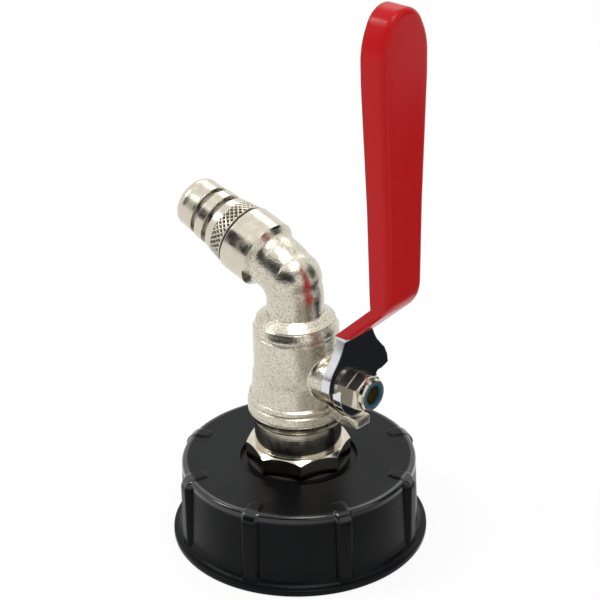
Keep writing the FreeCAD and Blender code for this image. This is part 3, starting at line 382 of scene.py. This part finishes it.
def hose_nozzle():
    """Profile (r, t) about the spout's axis, with pits at the knurl, and the painted shade of each point.

    With u, v = N a / 2 pi +- t / pitch, a pit round the centre of its diamond has the depth d times
    the lesser of 1 and wall (1 - max(|u|, |v|) / reach). The second grid is that share of d, painted as
    shade in the pits, and a fixed share of painted shade on the grooves' floors.
    """
    spigot = [
        (nozzle_bore, spigot_end + 0.2), (spigot_radius - 0.45, spigot_end),
        (spigot_radius, spigot_end + 0.4), (spigot_radius, knurl_start), (knurl_rim - 0.28, knurl_start),
    ]
    knurl = stretch([(knurl_rim, knurl_start + 0.35), (knurl_foot, knurl_end - 0.1)], 46)
    profile = np.concatenate([
        spigot,
        knurl,
        stretch([(knurl_foot, knurl_end + 0.05), (band_radius, band_end - 0.1)], 4),
        arc((band_radius - 0.15, band_end - 0.15), 0.15, 0, 90, 3),
        [(rear_groove + 0.3, band_end), (rear_groove, band_end + 0.3), (rear_groove, land_start)],
        [(land_radius - 0.25, land_start), (land_radius, land_start + 0.2)],
        [(land_radius, land_end - 0.2), (land_radius - 0.2, land_end)],
        [(front_groove, land_end), (front_groove, tip_start)],
        [(tip_radius - 0.2, tip_start), (tip_radius, tip_start + 0.2)],
        stretch([(tip_radius, tip_start + 0.5), (tip_radius - 0.2, round_centre[1] - 0.6)], 5),
        arc(round_centre, tip_round, 0, 80, 12),
        [(nozzle_bore + 0.7, nozzle_end), (nozzle_bore + 0.3, nozzle_end - 0.5)],
        stretch([(nozzle_bore, nozzle_end - 0.8), (nozzle_bore, spigot_end + 1.3)], 12),
    ])
    angles = np.linspace(0, 2 * np.pi, knurl_teeth * tooth_columns, endpoint=False)
    t = profile[:, 1, None] + 0 * angles
    r = profile[:, 0, None] + 0 * angles
    turns = knurl_teeth * angles / (2 * np.pi)
    rise = (t - knurl_start) / knurl_pitch
    u = (turns + rise + 0.5) % 1.0 - 0.5
    v = (turns - rise + 0.5) % 1.0 - 0.5
    pit = np.clip(1 - np.maximum(np.abs(u), np.abs(v)) / pit_reach, 0, 1)
    from_end = np.minimum(np.arange(len(knurl)), np.arange(len(knurl))[::-1])
    band = np.zeros(len(profile))
    band[len(spigot):len(spigot) + len(knurl)] = np.clip(from_end / 2, 0, 1)
    sunk = np.minimum(pit * pit_wall, 1) * band[:, None]
    r = r - knurl_depth * sunk
    # Painted shade: the grooves' floors get a fixed share of the dark tone, though they have no pits.
    in_grooves = (profile[:, 1] > band_end + 0.2) & (profile[:, 1] < tip_start + 0.3)
    sunk[in_grooves & (profile[:, 0] < rear_groove + 0.1)] = groove_shade
    upward = np.array([spout_axis[2], 0, -spout_axis[0]])
    sideways = np.array([0, 1.0, 0])
    points = (spout_corner + t[..., None] * spout_axis + (r * np.cos(angles))[..., None] * upward
              + (r * np.sin(angles))[..., None] * sideways)
    return points, sunk


nozzle_points, sunk = hose_nozzle()
nozzle_mesh = ring_mesh("hose_nozzle_skin", nozzle_points)
mark(nozzle_mesh, "sunk", sunk)

# The same turned nickel, darkened towards brown by painted shade in the knurl's pits, the more the deeper
# they are, and on the floors of the grooves.
nickel_knurled = turned_nickel("turned_nickel_knurled", spout_turn, 0.2)
tree = nickel_knurled.node_tree
pit_shade = add(tree, "ShaderNodeAttribute", {}, attribute_name="sunk")
# Painted shade: the grid darkens the nickel towards #3A352B in the pits and on the grooves' floors.
tone = add(tree, "ShaderNodeMix", {
    "Factor": pit_shade.outputs["Fac"], "A": linear(bright_nickel), "B": linear("#3A352B"),
}, data_type="RGBA")
wire(tree.nodes["Principled BSDF"], {"Base Color": tone.outputs["Result"]})
add_piece("hose_nozzle_skin", nozzle_mesh, "hose_nozzle", [nickel_knurled])

# Ball and seats: a bored brass ball, ground and chrome-plated, that turns between two rings of PTFE.
# A washer and a packing of the same PTFE lie round the stem. All of it is hidden in the body.

# Chrome plate: a clear mirror, hazed a little in patches where the seats have wiped it.
chrome, tree, surface, place = finish("chrome_plate")
haze = add(tree, "ShaderNodeTexNoise", {"Vector": place, "Scale": 1 / (3 * MM), "Detail": 3.0})
gloss = add(tree, "ShaderNodeMapRange", {"Value": haze.outputs["Fac"], "To Min": 0.03, "To Max": 0.12})
wire(surface, {"Base Color": linear("#DDDEDF"), "Metallic": 1.0, "Roughness": gloss.outputs["Result"]})
smooth_copy("ball", [chrome])

# Machined PTFE: waxy white with faint tool marks, drawn at 0.6 mm, coarser than the real ones.
ptfe, tree, surface, place = finish("machined_ptfe")
marks = add(tree, "ShaderNodeTexNoise", {"Vector": place, "Scale": 1 / (0.6 * MM), "Detail": 2.0})
bump = add(tree, "ShaderNodeBump", {"Height": marks.outputs["Fac"], "Distance": 0.01 * MM, "Strength": 0.5})
wire(surface, {"Base Color": linear("#ECECE8"), "Roughness": 0.45, "Normal": bump.outputs["Normal"]})
for node in ("lower_ball_seat", "upper_ball_seat", "stem_thrust_washer", "stem_packing"):
    smooth_copy(node, [ptfe])

# Stem and gland nut: turned brass, left bare. The stem carries the lever and turns the ball by its
# tang, and the gland nut screws into the boss and presses the packing round it.

# Turned brass: dull yellow that tarnish browns in patches, with the tool's rings round X. They are
# 0.1 mm apart and are drawn at 0.25 mm. A ring stays even for 17 mm, or 60 to a metre.
brass, tree, surface, place = finish("turned_brass")
rings = add(tree, "ShaderNodeMapping", {"Vector": place, "Scale": (1 / (0.25 * MM), 60.0, 60.0)})
marks = add(tree, "ShaderNodeTexNoise", {"Vector": rings.outputs["Vector"], "Scale": 1.0, "Detail": 2.0})
bump = add(tree, "ShaderNodeBump", {"Height": marks.outputs["Fac"], "Distance": 0.02 * MM, "Strength": 0.6})
tarnish = add(tree, "ShaderNodeTexNoise", {"Vector": place, "Scale": 1 / (2 * MM), "Detail": 3.0})
tone = add(tree, "ShaderNodeMix", {
    "Factor": tarnish.outputs["Fac"], "A": linear("#6B4E26"), "B": linear("#A98A54"),
}, data_type="RGBA")
wire(surface, {
    "Base Color": tone.outputs["Result"], "Metallic": 1.0, "Roughness": 0.3, "Normal": bump.outputs["Normal"],
})
smooth_copy("stem", [brass])
smooth_copy("packing_nut", [brass])

# Lever: a pressing of 3 mm steel, plated bright, with a flat hub on the stem and two stop ears.
# A jog carries its handle outward, and the handle is folded into a channel for stiffness.

# Plated steel: as bright as a mirror, blurred in patches that hands have wiped. The press has scored
# its sheared edges along X every 0.1 mm, drawn at 0.5 mm. A score runs for 17 mm, or 60 to a metre.
plated_steel, tree, surface, place = finish("plated_steel")
scores = add(tree, "ShaderNodeMapping", {"Vector": place, "Scale": (60.0, 1 / (0.5 * MM), 1 / (0.5 * MM))})
marks = add(tree, "ShaderNodeTexNoise", {"Vector": scores.outputs["Vector"], "Scale": 1.0, "Detail": 2.0})
edge = add(tree, "ShaderNodeBevel", {"Radius": 0.3 * MM}, samples=4)
bump = add(tree, "ShaderNodeBump", {
    "Height": marks.outputs["Fac"], "Distance": 0.01 * MM, "Strength": 0.4, "Normal": edge.outputs["Normal"],
})
wipes = add(tree, "ShaderNodeTexNoise", {"Vector": place, "Scale": 1 / (3 * MM), "Detail": 3.0})
gloss = add(tree, "ShaderNodeMapRange", {"Value": wipes.outputs["Fac"], "To Min": 0.04, "To Max": 0.16})
wire(surface, {
    "Base Color": linear("#D9D9DC"), "Metallic": 1.0, "Roughness": gloss.outputs["Result"],
    "Normal": bump.outputs["Normal"],
})
smooth_copy("lever", [plated_steel])

# Grip: a skin of soft red vinyl on the lever's handle, which was dipped hot and hung to dry.
# The skin draws round over the edges of the steel, most of all round the grip's front.
outline_round = 1.6
front_lean, side_lean = 0.4, 0.2

# Dipped vinyl: a deep clear red with a soft gloss, which ripples every 9 mm where the dip has run.
vinyl, tree, surface, place = finish("dipped_vinyl")
ripple = add(tree, "ShaderNodeTexNoise", {"Vector": place, "Scale": 1 / (9 * MM), "Detail": 2.0})
edge = add(tree, "ShaderNodeBevel", {"Radius": 1.1 * MM}, samples=6)
bump = add(tree, "ShaderNodeBump", {
    "Height": ripple.outputs["Fac"], "Distance": 0.12 * MM, "Strength": 0.4, "Normal": edge.outputs["Normal"],
})
gloss = add(tree, "ShaderNodeMapRange", {"Value": ripple.outputs["Fac"], "To Min": 0.14, "To Max": 0.28})
wire(surface, {
    "Base Color": linear("#B5171B"), "Specular IOR Level": 0.13, "Roughness": gloss.outputs["Result"],
    "Normal": bump.outputs["Normal"],
})


def on_outline(edge):
    """An edge between the grip's front, which faces away from the valve, and its sides.

    The front's normals lean along X by more than front_lean, and the sides' by less than side_lean.
    """
    leans = [face.normal.x for face in edge.link_faces]
    return max(leans) > front_lean and min(map(abs, leans)) < side_lean and edge.is_convex


smooth_copy("lever_grip", [vinyl], worn=on_outline, radius=outline_round)

# Lock nut: hexagonal steel under bright nickel, which holds the lever on the stem.
# A ring of blue nylon is pressed into its crown and keeps it from working loose.
nickel_across = turned_nickel("turned_nickel_across", (0, math.pi / 2, 0), 0.1)
smooth_copy("lever_nut", [nickel_across])

# Moulded nylon: a dark petrol blue, cloudy because a little light goes into it.
nylon, tree, surface, place = finish("moulded_nylon")
cloud = add(tree, "ShaderNodeTexNoise", {"Vector": place, "Scale": 1 / (1.5 * MM), "Detail": 2.0})
bump = add(tree, "ShaderNodeBump", {"Height": cloud.outputs["Fac"], "Distance": 0.02 * MM, "Strength": 0.5})
tone = add(tree, "ShaderNodeMix", {
    "Factor": cloud.outputs["Fac"], "A": linear("#1A4250"), "B": linear("#2B6374"),
}, data_type="RGBA")
wire(surface, {"Base Color": tone.outputs["Result"], "Roughness": 0.35, "Normal": bump.outputs["Normal"]})
smooth_copy("nut_insert", [nylon])

# Floor: a large sheet of white paper on which the cap stands mouth down, with a soft contact shadow.
# It reaches 3 m to each side, so that no view finds its edge.
floor_half = 3.0
floor_mesh = bpy.data.meshes.new("floor")
floor_mesh.from_pydata([
    (-floor_half, -floor_half, 0), (floor_half, -floor_half, 0), (floor_half, floor_half, 0),
    (-floor_half, floor_half, 0),
], [], [(0, 1, 2, 3)])
floor = bpy.data.objects.new("floor", floor_mesh)
bpy.context.scene.collection.objects.link(floor)

# White paper: plain white to the eye and in the metal, by a glow that only those two see. The rest of
# it is lit as paper is, so that it keeps the shadow.
paper, tree, surface, _ = finish("white_paper")
wire(surface, {"Base Color": linear("#FAFAFA"), "Roughness": 0.7})
rays = add(tree, "ShaderNodeLightPath", {})
seen = add(tree, "ShaderNodeMath", {
    0: rays.outputs["Is Camera Ray"], 1: rays.outputs["Is Glossy Ray"],
}, operation="MAXIMUM")
share = add(tree, "ShaderNodeMath", {0: seen.outputs["Value"], 1: 0.85}, operation="MULTIPLY")
glow = add(tree, "ShaderNodeEmission", {"Color": linear("#FFFFFF"), "Strength": 1.0})
mixed = add(tree, "ShaderNodeMixShader", {
    0: share.outputs["Value"], 1: surface.outputs["BSDF"], 2: glow.outputs["Emission"],
})
wire(tree.nodes["Material Output"], {"Surface": mixed.outputs["Shader"]})
floor_mesh.materials.append(paper)

# Studio: white to the eye and in the metal, and a plain grey to what it lights. Three soft boxes stand
# overhead, behind and to the left. Five cards, which only reflections show, give the metal its darks.
world = bpy.data.worlds.new("studio")
bpy.context.scene.world = world
world.use_nodes = True
tree = world.node_tree
rays = add(tree, "ShaderNodeLightPath", {})
seen = add(tree, "ShaderNodeMath", {
    0: rays.outputs["Is Camera Ray"], 1: rays.outputs["Is Glossy Ray"],
}, operation="MAXIMUM")
seen = add(tree, "ShaderNodeMath", {
    0: seen.outputs["Value"], 1: rays.outputs["Is Transmission Ray"],
}, operation="MAXIMUM")
level = add(tree, "ShaderNodeMapRange", {"Value": seen.outputs["Value"], "To Min": 0.6, "To Max": 1.0})
wire(tree.nodes["Background"], {"Color": linear("#FFFFFF"), "Strength": level.outputs["Result"]})

# The boxes and cards stand round the valve's middle, at distances in metres.
valve_middle = Vector((0, 0, 0.07))


def direction(azimuth, elevation, distance):
    """A point in metres round the valve: (cos e cos a, cos e sin a, sin e) times the distance."""
    a, e = math.radians(azimuth), math.radians(elevation)
    outward = Vector((math.cos(e) * math.cos(a), math.cos(e) * math.sin(a), math.sin(e)))
    return valve_middle + distance * outward


def facing(location, target):
    """A frame at a place that looks at a target along its own -Z, with its Y upward."""
    return Matrix.Translation(location) @ (target - location).to_track_quat("-Z", "Y").to_matrix().to_4x4()


def soft_box(name, azimuth, elevation, distance, size, radiance):
    """A rectangular soft light; its power is the radiance times pi times its area."""
    data = bpy.data.lights.new(name, "AREA")
    data.shape = "RECTANGLE"
    data.size, data.size_y = size
    data.energy = radiance * math.pi * size[0] * size[1]
    lamp = bpy.data.objects.new(name, data)
    lamp.matrix_world = facing(direction(azimuth, elevation, distance), valve_middle)
    bpy.context.scene.collection.objects.link(lamp)


soft_box("overhead", azimuth=-30, elevation=73, distance=0.9, size=(0.3, 0.46), radiance=7.5)
soft_box("behind", azimuth=125, elevation=45, distance=0.9, size=(0.6, 0.35), radiance=1.6)
soft_box("left", azimuth=-140, elevation=43, distance=1.0, size=(0.13, 0.3), radiance=17.0)


def studio_card(name, finished, corners):
    """A flat card with four corners, which only reflections show."""
    mesh = bpy.data.meshes.new(name)
    mesh.from_pydata([tuple(corner) for corner in corners], [], [(0, 1, 2, 3)])
    card = bpy.data.objects.new(name, mesh)
    bpy.context.scene.collection.objects.link(card)
    mesh.materials.append(finished)
    card.visible_camera = False
    card.visible_diffuse = False
    card.visible_shadow = False
    card.visible_transmission = False


# Black and grey card: matt to the limit, so that the metal shows them as even darks.
card_black, _, surface, _ = finish("card_black")
wire(surface, {"Base Color": linear("#202225"), "Roughness": 1.0, "Specular IOR Level": 0.0})
card_grey, _, surface, _ = finish("card_grey")
wire(surface, {"Base Color": linear("#A8A49C"), "Roughness": 1.0, "Specular IOR Level": 0.0})

# Two cards lie on the floor, by their corners in metres. Three stand round the valve, by their
# distance and the azimuth and elevation of each corner.
card_lift = 0.0005
lying_black = ((0.05, 0.05), (0.16, 0.02), (0.4, 0.3), (0.12, 0.4))
lying_grey = ((0.07, 0.03), (0.07, -0.09), (0.6, -0.5), (0.8, 0.1))
standing = {
    "card_right": (0.8, ((28, 0), (64, 0), (64, 38), (28, 38))),
    "card_front": (1.0, ((-125, 4), (-40, 4), (-40, 42), (-125, 38))),
    "card_high": (1.0, ((-42, 38), (12, 38), (12, 56), (-42, 56))),
}
studio_card("card_low", card_black, [(x, y, card_lift) for x, y in lying_black])
for name, (distance, corners) in standing.items():
    studio_card(name, card_black, [direction(azimuth, elevation, distance) for azimuth, elevation in corners])
studio_card("card_side", card_grey, [(x, y, card_lift) for x, y in lying_grey])

# Camera: a long lens that looks 27 degrees down on the valve, from azimuth -47 degrees and 0.6 m away.
# The nozzle then points away to the left and the lever stands at the right, as in the photograph.
eye = Vector((0.36559, -0.38996, 0.35229))
aim = Vector((0.00102, 0.00095, 0.0799))
camera_roll = math.radians(-1.2)
camera_data = bpy.data.cameras.new("camera")
camera_data.sensor_width = 36.0
camera_data.lens = 120.0
camera_data.clip_start = 0.01
camera = bpy.data.objects.new("camera", camera_data)
camera.matrix_world = facing(eye, aim) @ Matrix.Rotation(camera_roll, 4, "Z")
bpy.context.scene.collection.objects.link(camera)
bpy.context.scene.camera = camera
bpy.context.scene.view_settings.view_transform = "Standard"
